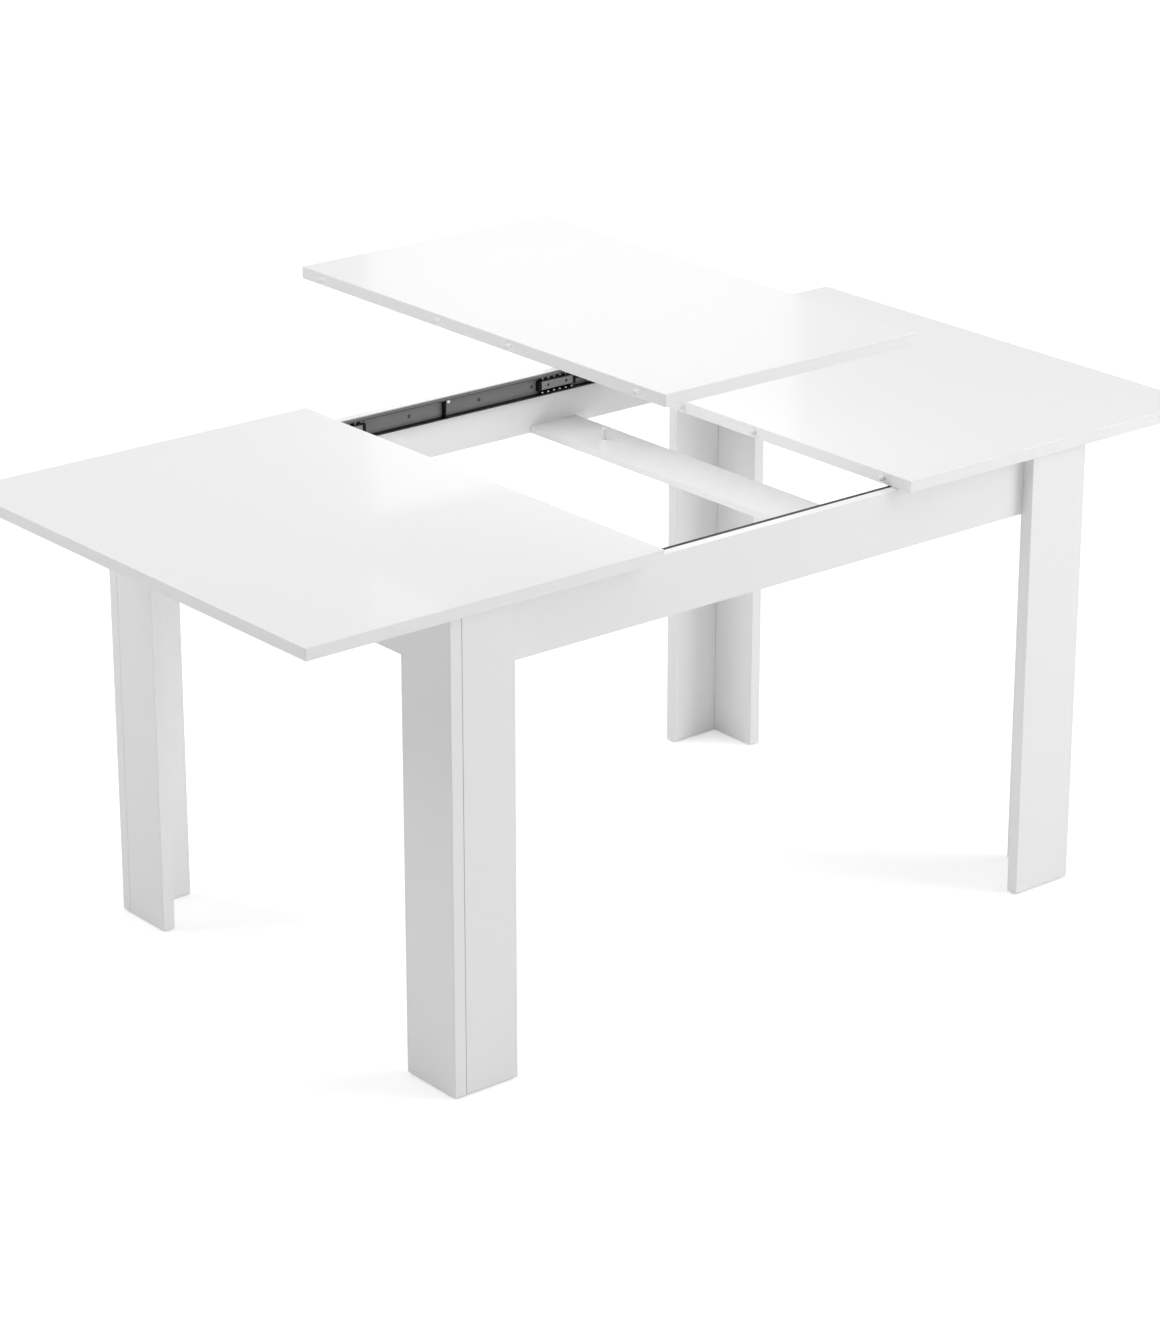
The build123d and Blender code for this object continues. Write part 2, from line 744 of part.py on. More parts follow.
# Loose leaf: pins along its left edge, holes along its right one.
leaf_pin_points = [(y, leaf_top_height - top_thickness / 2) for y in pin_stations]
make_board(
    "leaf_board",
    (-half_gap, half_gap),
    (-half_width, half_width),
    (leaf_top_height - top_thickness, leaf_top_height),
    [
        (looking_x(-half_gap, 1), on_x(1, leaf_pin_points), tight_pin_hole, pin_sunk),
        (looking_x(half_gap, -1), on_x(-1, leaf_pin_points), loose_pin_hole, pin_hole_depth),
    ],
)
copies(
    "leaf_pins",
    pin,
    [Location((pin_sunk - half_gap, y, z), driven_x[-1]) for y, z in leaf_pin_points],
)


# Ball cages: in each slide two groups of balls, linked by a thin strip, roll between the
# outer and the inner rail and travel half as far as the half top does. A group has a black
# plastic retainer with a pocket for each ball, and a steel block in its middle. The left
# cages stand a little nearer to the middle of the table than the right ones.
retainer_depths = (2.0, 2.8)
retainer_half_length = 35.0
retainer_flange_depth = 10.6
retainer_flange = 0.9
pocket_clearance = 0.1
pocket_height = 2.7
block_half_length = 33.5
block_depths = (2.8, 9.3)
block_height = 14.0
block_hole_radius = 2.6
block_hole_offset = 19.5
lug_height = 16.8
lug_length = 7.0
lug_depths = (2.0, 9.0)
link_height = 6.0
plate_middle = sum(retainer_depths) / 2
plate_thickness = retainer_depths[1] - retainer_depths[0]
plate_height = 2 * ball_row_height + retainer_flange
ball_steps = [(n - (balls_in_row - 1) / 2) * ball_pitch for n in range(balls_in_row)]

with BuildPart() as ball:
    Sphere(ball_radius)

for end, x_sign in ends.items():
    group_centres = [x_sign * centre for centre in cage_group_centres[end]]
    ball_places = []
    for side, y_sign in sides.items():
        own_places = [
            Location(
                (
                    middle + step,
                    at_depth(y_sign, ball_depth),
                    slide_centre_height + row * ball_row_height,
                )
            )
            for middle in group_centres
            for step in ball_steps
            for row in (-1, 1)
        ]
        ball_places += own_places
        with BuildPart() as retainers:
            for middle in group_centres:
                with BuildSketch(Plane.YZ.offset(middle - retainer_half_length)):
                    with Locations((at_depth(y_sign, plate_middle), slide_centre_height)):
                        Rectangle(plate_thickness, plate_height)
                    flange_middle = (retainer_depths[0] + retainer_flange_depth) / 2
                    with Locations(
                        (at_depth(y_sign, flange_middle), slide_centre_height + ball_row_height),
                        (at_depth(y_sign, flange_middle), slide_centre_height - ball_row_height),
                    ):
                        Rectangle(retainer_flange_depth - retainer_depths[0], retainer_flange)
                extrude(amount=2 * retainer_half_length)
                for step in (-1, 1):
                    lug_x = middle + step * (block_half_length + lug_length / 2)
                    lug_depth = sum(lug_depths) / 2
                    with Locations((lug_x, at_depth(y_sign, lug_depth), slide_centre_height)):
                        Box(lug_length, lug_depths[1] - lug_depths[0], lug_height)
            link_middle = sum(group_centres) / len(group_centres)
            with Locations((link_middle, at_depth(y_sign, plate_middle), slide_centre_height)):
                Box(max(group_centres) - min(group_centres), plate_thickness, link_height)
            with Locations(*own_places):
                Cylinder(ball_radius + pocket_clearance, pocket_height, mode=Mode.SUBTRACT)
        save(retainers, f"{side}_{end}_ball_retainer")
        with BuildPart() as blocks:
            for middle in group_centres:
                block_depth = sum(block_depths) / 2
                with Locations((middle, at_depth(y_sign, block_depth), slide_centre_height)):
                    Box(2 * block_half_length, block_depths[1] - block_depths[0], block_height)
            chamfer(blocks.edges().filter_by(Axis.Y), arris)
            with BuildSketch(looking_y(at_depth(y_sign, block_depths[1]), y_sign)):
                holes = [
                    (middle + step * block_hole_offset, slide_centre_height)
                    for middle in group_centres
                    for step in (-1, 1)
                ]
                with Locations(*on_y(y_sign, holes)):
                    Circle(block_hole_radius)
            extrude(amount=block_depths[1] - block_depths[0], mode=Mode.SUBTRACT)
        save(blocks, f"{side}_{end}_carrier_blocks")
    copies(f"{end}_bearing_balls", ball, ball_places)
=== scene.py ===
import bpy
import math
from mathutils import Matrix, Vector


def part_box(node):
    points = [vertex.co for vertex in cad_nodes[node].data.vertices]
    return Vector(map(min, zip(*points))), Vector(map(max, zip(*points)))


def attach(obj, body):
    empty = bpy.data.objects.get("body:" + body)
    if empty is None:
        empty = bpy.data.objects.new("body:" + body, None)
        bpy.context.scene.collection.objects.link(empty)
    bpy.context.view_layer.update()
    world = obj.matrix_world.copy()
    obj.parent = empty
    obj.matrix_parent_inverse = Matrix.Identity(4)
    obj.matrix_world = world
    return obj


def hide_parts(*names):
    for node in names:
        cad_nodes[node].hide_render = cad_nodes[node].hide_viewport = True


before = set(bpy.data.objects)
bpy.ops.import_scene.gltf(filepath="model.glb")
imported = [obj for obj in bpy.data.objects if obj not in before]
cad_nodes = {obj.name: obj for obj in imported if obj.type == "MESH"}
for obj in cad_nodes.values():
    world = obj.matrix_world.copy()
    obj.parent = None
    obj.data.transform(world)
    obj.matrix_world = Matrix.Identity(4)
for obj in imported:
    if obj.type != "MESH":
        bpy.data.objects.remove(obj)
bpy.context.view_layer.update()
bpy.ops.object.select_all(action="DESELECT")


# ---------------------------------------------------------------------------------------
# Legs. Each leg is two white melamine boards, dowelled and glued into an L that opens
# inwards. The boards are chipboard with a hard white foil, and a strip of the same white
# is glued along every cut edge, which leaves a hairline round the face.
# ---------------------------------------------------------------------------------------
mm = 0.001
edge_strip = 1.0 * mm
foil_depth = 0.9 * mm
face_skin = 0.3 * mm
seam_line_width, seam_line_fade = 0.05 * mm, 0.16 * mm
arris_width, arris_fade = 0.4 * mm, 1.1 * mm
joint_line_width, joint_line_fade = 0.25 * mm, 0.5 * mm
board_roughness = 0.3
worn_arris_roughness = 0.14
raw_core_roughness = 0.6
seam_darkness = 0.45
seam_height = -0.6
chip_scale = 900.0
board_white = (0.880, 0.880, 0.880, 1)
board_shade = (0.868, 0.869, 0.871, 1)
seam_grey = (0.52, 0.52, 0.51, 1)
joint_grey = (0.16, 0.16, 0.16, 1)
chip_light = (0.60, 0.45, 0.29, 1)
chip_dark = (0.30, 0.19, 0.10, 1)


def feed(tree, socket, source):
    """Links a source to an input, or sets the input to a plain value."""
    if isinstance(source, bpy.types.NodeSocket):
        tree.links.new(source, socket)
    else:
        socket.default_value = source


def add_node(tree, kind, *sources, **settings):
    """Adds a node, sets its options, and feeds its inputs in order."""
    node = tree.nodes.new(kind)
    for option, value in settings.items():
        setattr(node, option, value)
    for socket, source in zip(node.inputs, sources):
        feed(tree, socket, source)
    return node


def math_node(tree, operation, *sources):
    """Output of a Math node."""
    return add_node(tree, "ShaderNodeMath", *sources, operation=operation).outputs[0]


def vector_node(tree, operation, *sources):
    """The Vector Math node itself, because some operations answer with a value."""
    return add_node(tree, "ShaderNodeVectorMath", *sources, operation=operation)


def ramp(tree, value, low, high, reverse=False):
    """Smooth mask that goes from 0 to 1 between two values, or from 1 to 0."""
    ends = (1.0, 0.0) if reverse else (0.0, 1.0)
    node = add_node(tree, "ShaderNodeMapRange", value, interpolation_type="SMOOTHSTEP")
    for name, setting in zip(("From Min", "From Max", "To Min", "To Max"), (low, high, *ends)):
        node.inputs[name].default_value = setting
    return node.outputs[0]


def mix_colour(tree, factor, first, second):
    """Colour that goes from the first to the second as the factor goes from 0 to 1."""
    node = tree.nodes.new("ShaderNodeMix")
    node.data_type = "RGBA"
    for name, source in (("Factor_Float", factor), ("A_Color", first), ("B_Color", second)):
        feed(tree, next(s for s in node.inputs if s.identifier == name), source)
    return next(s for s in node.outputs if s.identifier == "Result_Color")


def new_group(name, inputs, outputs):
    """Shader node group with named sockets, each given as (name, kind, value)."""
    tree = bpy.data.node_groups.new(name, "ShaderNodeTree")
    for label, kind, value in inputs:
        socket = tree.interface.new_socket(label, in_out="INPUT", socket_type=kind)
        socket.default_value = value
    for label, kind in outputs:
        tree.interface.new_socket(label, in_out="OUTPUT", socket_type=kind)
    return tree, tree.nodes.new("NodeGroupInput").outputs, tree.nodes.new("NodeGroupOutput").inputs


def use_group(tree, group, **values):
    """Places a group in a material; words in its input names are joined with _."""
    node = tree.nodes.new("ShaderNodeGroup")
    node.node_tree = group
    for label, source in values.items():
        feed(tree, node.inputs[label.replace("_", " ")], source)
    return node.outputs


def new_material(name, roughness, metallic=0.0, **constants):
    """Material with its shader, its tree and the Object coordinates of the piece."""
    material = bpy.data.materials.new(name)
    material.use_nodes = True
    tree = material.node_tree
    shader = next(n for n in tree.nodes if n.type == "BSDF_PRINCIPLED")
    shader.inputs["Roughness"].default_value = roughness
    shader.inputs["Metallic"].default_value = metallic
    for label, value in constants.items():
        shader.inputs[label.replace("_", " ")].default_value = value
    place = tree.nodes.new("ShaderNodeTexCoord").outputs["Object"]
    return material, tree, shader, place


def set_bump(tree, shader, height, strength, depth):
    """Gives a shader its fine relief from a height."""
    bump = tree.nodes.new("ShaderNodeBump")
    bump.inputs["Strength"].default_value = strength
    bump.inputs["Distance"].default_value = depth
    tree.links.new(height, bump.inputs["Height"])
    tree.links.new(bump.outputs[0], shader.inputs["Normal"])


def finish_node(name, material):
    """Gives a CAD node its finish."""
    cad_nodes[name].data.materials.clear()
    cad_nodes[name].data.materials.append(material)


# Slow and fine unevenness of a made surface: a broad cloud, which also shifts the gloss,
# and a fine grain. Every finish on the table uses it with its own scales and strength.
cloud_detail, grain_detail = 4.0, 2.0
noise_middle = 0.5
unevenness, given, result = new_group(
    "surface_unevenness",
    [
        ("Place", "NodeSocketVector", (0, 0, 0)),
        ("Cloud Scale", "NodeSocketFloat", 9.0),
        ("Grain Scale", "NodeSocketFloat", 700.0),
        ("Roughness", "NodeSocketFloat", 0.3),
        ("Roughness Change", "NodeSocketFloat", 0.06),
    ],
    [("Cloud", "NodeSocketFloat"), ("Grain", "NodeSocketFloat"), ("Roughness", "NodeSocketFloat")],
)
cloud = add_node(unevenness, "ShaderNodeTexNoise", given["Place"])
unevenness.links.new(given["Cloud Scale"], cloud.inputs["Scale"])
cloud.inputs["Detail"].default_value = cloud_detail
grain = add_node(unevenness, "ShaderNodeTexNoise", given["Place"])
unevenness.links.new(given["Grain Scale"], grain.inputs["Scale"])
grain.inputs["Detail"].default_value = grain_detail
centred = math_node(unevenness, "SUBTRACT", cloud.outputs["Fac"], noise_middle)
swing = math_node(unevenness, "MULTIPLY", centred, given["Roughness Change"])
doubled = math_node(unevenness, "MULTIPLY", swing, 2.0)
rough = math_node(unevenness, "ADD", doubled, given["Roughness"])
unevenness.links.new(cloud.outputs["Fac"], result["Cloud"])
unevenness.links.new(grain.outputs["Fac"], result["Grain"])
unevenness.links.new(rough, result["Roughness"])

# Zones of a board, from how far a point lies inside its lowest and highest corners: the raw
# core that shows only in drilled holes, the glue line of the edge strip, and the eased arris.
board_zones, given, result = new_group(
    "board_zones",
    [
        ("Place", "NodeSocketVector", (0, 0, 0)),
        ("Low Corner", "NodeSocketVector", (0, 0, 0)),
        ("High Corner", "NodeSocketVector", (1, 1, 1)),
        ("Across", "NodeSocketVector", (0, 0, 1)),
        ("Strip", "NodeSocketFloat", edge_strip),
        ("Foil", "NodeSocketFloat", foil_depth),
    ],
    [("Core", "NodeSocketFloat"), ("Seam", "NodeSocketFloat"), ("Arris", "NodeSocketFloat")],
)
from_low = vector_node(board_zones, "SUBTRACT", given["Place"], given["Low Corner"]).outputs[0]
from_high = vector_node(board_zones, "SUBTRACT", given["High Corner"], given["Place"]).outputs[0]
inset = vector_node(board_zones, "MINIMUM", from_low, from_high).outputs[0]
insets = add_node(board_zones, "ShaderNodeSeparateXYZ", inset).outputs
nearer = math_node(board_zones, "MINIMUM", insets[0], insets[1])
nearest = math_node(board_zones, "MINIMUM", nearer, insets[2])
further = math_node(board_zones, "MAXIMUM", insets[0], insets[1])
furthest = math_node(board_zones, "MAXIMUM", further, insets[2])
first_two = math_node(board_zones, "ADD", insets[0], insets[1])
total = math_node(board_zones, "ADD", first_two, insets[2])
other_two = math_node(board_zones, "SUBTRACT", total, nearest)
middle = math_node(board_zones, "SUBTRACT", other_two, furthest)
to_face = vector_node(board_zones, "DOT_PRODUCT", inset, given["Across"]).outputs["Value"]
on_face = math_node(board_zones, "LESS_THAN", to_face, face_skin)
core = math_node(board_zones, "GREATER_THAN", nearest, given["Foil"])
past_seam = math_node(board_zones, "SUBTRACT", middle, given["Strip"])
off_seam = math_node(board_zones, "ABSOLUTE", past_seam)
seam_line = ramp(board_zones, off_seam, seam_line_width, seam_line_fade, reverse=True)
seam = math_node(board_zones, "MULTIPLY", seam_line, on_face)
arris = ramp(board_zones, middle, arris_width, arris_fade, reverse=True)
board_zones.links.new(core, result["Core"])
board_zones.links.new(seam, result["Seam"])
board_zones.links.new(arris, result["Arris"])


def finish_board(name, glued_end=None):
    """White melamine on one board; glued_end is the axis and place of a butted end."""
    low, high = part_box(name)
    size = high - low
    thinnest = min(range(3), key=lambda axis: size[axis])
    across = [1.0 if axis == thinnest else 0.0 for axis in range(3)]
    material, tree, shader, place = new_material(
        f"melamine_{name}", board_roughness,
        Coat_Weight=0.5, Coat_Roughness=0.08, Coat_IOR=1.5,
    )
    surface = use_group(
        tree, unevenness, Place=place, Cloud_Scale=2.0, Grain_Scale=420.0,
        Roughness=board_roughness, Roughness_Change=0.03,
    )
    zones = use_group(
        tree, board_zones, Place=place, Low_Corner=low, High_Corner=high, Across=across,
    )
    white = mix_colour(tree, surface["Cloud"], board_white, board_shade)
    seam_strength = math_node(tree, "MULTIPLY", zones["Seam"], seam_darkness)
    seamed = mix_colour(tree, seam_strength, white, seam_grey)
    if glued_end is not None:
        axis, position = glued_end
        along = add_node(tree, "ShaderNodeSeparateXYZ", place).outputs[axis]
        off_joint = math_node(tree, "ABSOLUTE", math_node(tree, "SUBTRACT", along, position))
        joint_line = ramp(tree, off_joint, joint_line_width, joint_line_fade, reverse=True)
        seamed = mix_colour(tree, joint_line, seamed, joint_grey)
    flakes = add_node(tree, "ShaderNodeTexVoronoi", place)
    flakes.inputs["Scale"].default_value = chip_scale
    chips = mix_colour(tree, flakes.outputs["Distance"], chip_light, chip_dark)
    tree.links.new(mix_colour(tree, zones["Core"], seamed, chips), shader.inputs["Base Color"])
    worn = math_node(tree, "MULTIPLY", zones["Arris"], worn_arris_roughness)
    raw = math_node(tree, "MULTIPLY", zones["Core"], raw_core_roughness)
    rougher = math_node(tree, "ADD", math_node(tree, "ADD", surface["Roughness"], worn), raw)
    tree.links.new(rougher, shader.inputs["Roughness"])
    dip = math_node(tree, "MULTIPLY", zones["Seam"], seam_height)
    height = math_node(tree, "ADD", surface["Grain"], dip)
    set_bump(tree, shader, height, strength=0.06, depth=0.15 * mm)
    finish_node(name, material)


sides = ("front", "back")
ends = ("left", "right")
for side in sides:
    for end in ends:
        end_board = f"{side}_{end}_leg_end_board"
        side_board = f"{side}_{end}_leg_side_board"
        end_low, end_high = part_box(end_board)
        side_low, side_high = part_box(side_board)
        if (side, end) in (("front", "left"), ("back", "right")):
            butt = side_low.x if end == "left" else side_high.x
            finish_board(end_board)
            finish_board(side_board, glued_end=(0, butt))
        else:
            butt = end_low.y if side == "front" else end_high.y
            finish_board(end_board, glued_end=(1, butt))
            finish_board(side_board)


# ---------------------------------------------------------------------------------------
# Leg glides and dowels. Two discs of hard white plastic are nailed under each leg, with a
# rounded rim and a sunk nail head; the dowels are turned beech, glued across the corner
# joint, and never seen.
# ---------------------------------------------------------------------------------------
plastic_white = (0.88, 0.88, 0.87, 1)
beech_light = (0.66, 0.47, 0.29, 1)
beech_dark = (0.45, 0.29, 0.16, 1)
beech_roughness = 0.6
beech_stretch = (60, 60, 900)
fleck_start, fleck_end = 0.45, 0.6


def shaded(colour, share):
    """The same colour with less light in it."""
    return tuple(share * c for c in colour[:3]) + (1,)


def make_plastic(name, colour, roughness, bump_strength, **constants):
    """Moulded plastic: a fine sparked texture, and gloss that changes a little."""
    material, tree, shader, place = new_material(name, roughness, **constants)
    surface = use_group(
        tree, unevenness, Place=place, Cloud_Scale=60.0, Grain_Scale=2600.0,
        Roughness=roughness, Roughness_Change=0.08,
    )
    clouded = mix_colour(tree, surface["Cloud"], colour, shaded(colour, share=0.9))
    tree.links.new(clouded, shader.inputs["Base Color"])
    tree.links.new(surface["Roughness"], shader.inputs["Roughness"])
    set_bump(tree, shader, surface["Grain"], bump_strength, depth=0.1 * mm)
    return material


def make_beech(name):
    """Beech: short dark flecks along the grain."""
    material, tree, shader, place = new_material(name, beech_roughness)
    stretched = add_node(tree, "ShaderNodeMapping", place)
    stretched.inputs["Scale"].default_value = beech_stretch
    surface = use_group(
        tree, unevenness, Place=stretched.outputs[0], Cloud_Scale=1.0, Grain_Scale=8.0,
        Roughness=beech_roughness, Roughness_Change=0.1,
    )
    fleck = ramp(tree, surface["Grain"], fleck_start, fleck_end)
    tree.links.new(mix_colour(tree, fleck, beech_light, beech_dark), shader.inputs["Base Color"])
    tree.links.new(surface["Roughness"], shader.inputs["Roughness"])
    return material


white_plastic = make_plastic("white_plastic", plastic_white, roughness=0.42, bump_strength=0.15)
beech = make_beech("beech")
finish_node("leg_glides", white_plastic)
finish_node("leg_dowels", beech)

glide_sides = 40
glide_radius = 9.0 * mm
glide_edge = 1.2 * mm
glide_edge_steps = 4
nail_head_radius = 3.2 * mm
nail_head_depth = 0.7 * mm
glide_from_corner = 82.5 * mm
glide_low, glide_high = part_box("leg_glides")
glide_height = glide_high.z - glide_low.z
flat_tolerance = 0.01 * mm
rim_radius = 0.95 * glide_radius
nearly_down = -0.9
smooth_angle = math.radians(35)


def pick(piece, kind, test):
    """Opens one piece for editing with only the faces or edges picked that pass a test."""
    bpy.ops.object.select_all(action="DESELECT")
    bpy.context.view_layer.objects.active = piece
    piece.select_set(True)
    bpy.ops.object.mode_set(mode="EDIT")
    bpy.ops.mesh.select_mode(type=kind)
    bpy.ops.mesh.select_all(action="DESELECT")
    bpy.ops.object.mode_set(mode="OBJECT")
    points = piece.data.vertices
    if kind == "FACE":
        for face in piece.data.polygons:
            face.select = test(face.center, face.normal)
    else:
        for edge in piece.data.edges:
            first, second = (points[number].co for number in edge.vertices)
            edge.select = test(first, second)
    bpy.ops.object.mode_set(mode="EDIT")


def place_copies(first, name, centres):
    """Copies a finished piece to each centre and joins the copies, places in the mesh."""
    copies = []
    for centre in centres:
        piece = first.copy()
        piece.data = first.data.copy()
        bpy.context.scene.collection.objects.link(piece)
        piece.location = centre
        copies.append(piece)
    bpy.data.objects.remove(first)
    bpy.ops.object.select_all(action="DESELECT")
    for piece in copies:
        piece.select_set(True)
    bpy.context.view_layer.objects.active = copies[0]
    bpy.ops.object.join()
    bpy.ops.object.transform_apply(location=True, rotation=True, scale=True)
    bpy.ops.object.shade_smooth_by_angle(angle=smooth_angle)
    whole = bpy.context.object
    whole.name = name
    return whole


def on_bottom(centre, normal):
    """Whether a face of the glide looks down."""
    return normal.z < nearly_down


def on_bottom_rim(first, second):
    """Whether an edge lies on the outer ring of the glide's bottom."""
    flat = max(first.z, second.z) < flat_tolerance
    return flat and min(first.xy.length, second.xy.length) > rim_radius


bpy.ops.object.select_all(action="DESELECT")
bpy.ops.mesh.primitive_cylinder_add(
    vertices=glide_sides, radius=glide_radius, depth=glide_height,
    location=(0, 0, glide_height / 2),
)
glide = bpy.context.object
bpy.ops.object.transform_apply(location=True, rotation=False, scale=False)
pick(glide, "FACE", on_bottom)
bpy.ops.mesh.inset(thickness=glide_radius - nail_head_radius, depth=0)
bpy.ops.mesh.extrude_region_move(TRANSFORM_OT_translate={"value": (0, 0, nail_head_depth)})
bpy.ops.object.mode_set(mode="OBJECT")
pick(glide, "EDGE", on_bottom_rim)
bpy.ops.mesh.bevel(offset=glide_edge, segments=glide_edge_steps, affect="EDGES")
bpy.ops.mesh.select_all(action="SELECT")
bpy.ops.mesh.normals_make_consistent(inside=False)
bpy.ops.object.mode_set(mode="OBJECT")
glide_far = (glide_high.x - glide_radius, glide_high.y - glide_radius)
glide_near = (glide_far[0] - glide_from_corner, glide_far[1] - glide_from_corner)
glide_centres = [
    (across * x, along * y, 0)
    for across in (-1, 1)
    for along in (-1, 1)
    for x, y in ((glide_near[0], glide_far[1]), (glide_far[0], glide_near[1]))
]
glides = place_copies(glide, "nail_on_glides", glide_centres)
glides.data.materials.clear()
glides.data.materials.append(white_plastic)
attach(glides, "frame")
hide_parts("leg_glides")


# ---------------------------------------------------------------------------------------
# Aprons. Four white melamine boards make the ring under the top; the long ones run behind
# the legs' side boards and carry the slides on their inner faces.
# ---------------------------------------------------------------------------------------
for side in sides:
    finish_board(f"{side}_apron")
for end in ends:
    finish_board(f"{end}_end_apron")


# ---------------------------------------------------------------------------------------
# Corner braces, leg bolts and their screws. Bent and turned steel with bright zinc, in
# which the crystals of the plating show as faint patches.
# ---------------------------------------------------------------------------------------
zinc_light = (0.68, 0.68, 0.67, 1)
zinc_dark = (0.50, 0.51, 0.53, 1)
crystal_scale = 260.0


def make_zinc(name, roughness):
    """Zinc plate: patches of crystals and fine drawing lines."""
    material, tree, shader, place = new_material(name, roughness, metallic=1.0)
    surface = use_group(
        tree, unevenness, Place=place, Cloud_Scale=120.0, Grain_Scale=1800.0,
        Roughness=roughness, Roughness_Change=0.12,
    )
    crystals = add_node(tree, "ShaderNodeTexVoronoi", place)
    crystals.inputs["Scale"].default_value = crystal_scale
    patches = add_node(tree, "ShaderNodeSeparateColor", crystals.outputs["Color"]).outputs[0]
    tree.links.new(mix_colour(tree, patches, zinc_light, zinc_dark), shader.inputs["Base Color"])
    tree.links.new(surface["Roughness"], shader.inputs["Roughness"])
    set_bump(tree, shader, surface["Grain"], strength=0.1, depth=0.05 * mm)
    return material


zinc = make_zinc("bright_zinc", roughness=0.34)
for side in sides:
    for end in ends:
        finish_node(f"{side}_{end}_corner_brace", zinc)
for name in ("corner_brace_screws", "leg_bolts"):
    finish_node(name, zinc)


# ---------------------------------------------------------------------------------------
# Crossbars. Two thin melamine boards from apron to apron, on dowels and cam locks. The
# leaf is stored on them, against the white plastic peg that stands on the right one.
# ---------------------------------------------------------------------------------------
for end in ends:
    finish_board(f"{end}_crossbar")
finish_node("crossbar_dowels", beech)
finish_node("crossbar_cams", zinc)
finish_node("crossbar_cam_bolts", zinc)
finish_node("storage_peg", white_plastic)


# ---------------------------------------------------------------------------------------
# Outer rails. Rolled steel channels with a dark grey coat, screwed inside the long aprons.
# The lower ball track is painted black as shade. The top flanges are painted darker than the
# webs as shade, and those of the front rails get the darkest painted shade and are the dullest.
# ---------------------------------------------------------------------------------------
rail_web = (0.200, 0.200, 0.203, 1)
# The flange and lower track colours are painted shade on the one dark grey coat.
back_flange_painted_shade = (0.075, 0.075, 0.077, 1)
front_flange_painted_shade = (0.035, 0.035, 0.036, 1)
lower_track_painted_shade = (0.006, 0.006, 0.006, 1)
front_shine, back_shine = 0.15, 0.5
rail_roughness = 0.42
rolling_stretch = (0.08, 1.0, 1.0)
rail_low, rail_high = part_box("back_right_outer_rail")
rail_centre = (rail_low.z + rail_high.z) / 2
shade_band_from_centre = 13.6 * mm
shade_band_fade = 1.0 * mm
flange_shade_start = rail_centre + shade_band_from_centre
track_shade_top = rail_centre - shade_band_from_centre


def make_rail_steel(name, coat, flange=None, **constants):
    """Coated strip steel, rolled lengthwise, with painted shade on a channel's flange and lower
    track.
    """
    material, tree, shader, place = new_material(name, rail_roughness, **constants)
    stretched = add_node(tree, "ShaderNodeMapping", place)
    stretched.inputs["Scale"].default_value = rolling_stretch
    surface = use_group(
        tree, unevenness, Place=stretched.outputs[0], Cloud_Scale=90.0, Grain_Scale=1500.0,
        Roughness=rail_roughness, Roughness_Change=0.10,
    )
    colour = mix_colour(tree, surface["Cloud"], coat, shaded(coat, share=0.86))
    if flange is not None:
        up = add_node(tree, "ShaderNodeSeparateXYZ", place).outputs[2]
        # Painted shade: darker above the flange start, black below the lower track.
        above = ramp(tree, up, flange_shade_start, flange_shade_start + shade_band_fade)
        below = ramp(tree, up, track_shade_top - shade_band_fade, track_shade_top, reverse=True)
        colour = mix_colour(tree, above, colour, flange)
        colour = mix_colour(tree, below, colour, lower_track_painted_shade)
    tree.links.new(colour, shader.inputs["Base Color"])
    tree.links.new(surface["Roughness"], shader.inputs["Roughness"])
    set_bump(tree, shader, surface["Grain"], strength=0.12, depth=0.08 * mm)
    return material


flange_painted_shades = (front_flange_painted_shade, back_flange_painted_shade)
# Front and back rails are one steel with a different painted shade on the flange.
for side, flange, shine in zip(sides, flange_painted_shades, (front_shine, back_shine)):
    outer_rail_steel = make_rail_steel(
        f"{side}_rail_steel", rail_web, flange, Specular_IOR_Level=shine
    )
    for end in ends:
        finish_node(f"{side}_{end}_outer_rail", outer_rail_steel)


# ---------------------------------------------------------------------------------------
# Rail screws, stops and bumpers. Countersunk screws, blackened like the rail; black stops
# in the rails' outer ends and where the left-hand rails meet the right-hand ones; white
# bumpers clipped in where the right-hand rails begin.
# ---------------------------------------------------------------------------------------
screw_black = (0.055, 0.055, 0.058, 1)
plastic_black = (0.006, 0.006, 0.006, 1)
black_plastic_shine = 0.15
blackened = make_plastic("blackened_screw", screw_black, roughness=0.38, bump_strength=0.05)
black_plastic = make_plastic(
    "black_plastic", plastic_black, roughness=0.55, bump_strength=0.2,
    Specular_IOR_Level=black_plastic_shine,
)
finish_node("outer_rail_screws", blackened)
finish_node("rail_end_stops", black_plastic)
finish_node("rail_bumpers", white_plastic)


# ---------------------------------------------------------------------------------------
# Ball cages. Black plastic retainers with a pocket for each ball, a grey steel block in the
# middle of each group, and polished steel balls.
# ---------------------------------------------------------------------------------------
ball_bright = (0.93, 0.93, 0.93, 1)
ball_greased = (0.78, 0.77, 0.74, 1)
ball_roughness = 0.25
film_start, film_end = 0.5, 0.75
block_grey = (0.27, 0.27, 0.273, 1)


def make_ball_steel(name):
    """Polished bearing steel with a trace of grease."""
    material, tree, shader, place = new_material(name, ball_roughness, metallic=1.0)
    surface = use_group(
        tree, unevenness, Place=place, Cloud_Scale=300.0, Grain_Scale=4000.0,
        Roughness=ball_roughness, Roughness_Change=0.08,
    )
    film = ramp(tree, surface["Cloud"], film_start, film_end)
    filmed = mix_colour(tree, film, ball_bright, ball_greased)
    tree.links.new(filmed, shader.inputs["Base Color"])
    tree.links.new(surface["Roughness"], shader.inputs["Roughness"])
    return material


ball_steel = make_ball_steel("ball_steel")
block_steel = make_rail_steel("block_steel", block_grey)
for end in ends:
    finish_node(f"{end}_bearing_balls", ball_steel)
    for side in sides:
        finish_node(f"{side}_{end}_ball_retainer", black_plastic)
        finish_node(f"{side}_{end}_carrier_blocks", block_steel)


